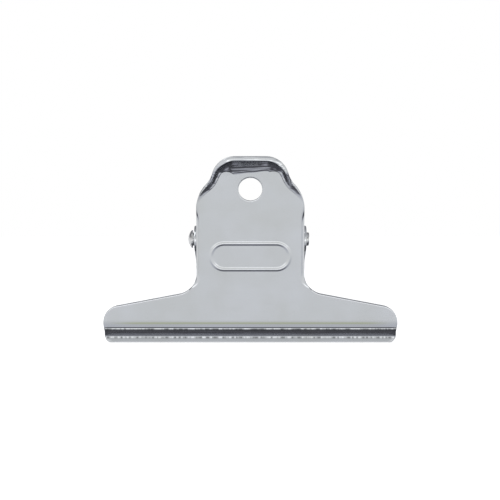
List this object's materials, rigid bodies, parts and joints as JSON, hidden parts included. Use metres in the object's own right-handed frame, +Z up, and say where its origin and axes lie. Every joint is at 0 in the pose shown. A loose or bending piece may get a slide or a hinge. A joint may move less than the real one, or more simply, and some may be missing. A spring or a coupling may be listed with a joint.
{
  "type": "bulldog clip",
  "caption": "Sprung steel letter clip: two pressed plates with long jaws and rimmed, holed handles, hinged on a rivet and held shut by a coiled torsion spring.",
  "frame": {"origin": "under the middle of the closed jaws, at the level of the lips' lower edges", "axes": "+X along the jaws, towards the rivet's rolled end; +Y from the front plate to the rear plate; +Z up from the jaws to the handles"},
  "size_m": [0.088, 0.035, 0.0556],
  "materials": {
    "plate_steel": "bright nickel plate",
    "rivet_steel": "bright nickel plate, headed cold",
    "spring_wire": "drawn spring wire, nickel plated"
  },
  "bodies": {
    "rear": {"rear_plate": "plate_steel", "pivot_rivet": "rivet_steel", "torsion_spring": "spring_wire"},
    "front": {"front_plate": "plate_steel"}
  },
  "joints": [
    {"name": "jaw_hinge", "type": "hinge", "parent": "rear", "child": "front", "pos_m": [0, 0, 0.031], "axis": [-1, 0, 0], "range_deg": [0, 48], "stiffness_Nm_per_rad": 0.3, "springref_deg": -74.48, "deforming": ["torsion_spring"]}
  ]
}
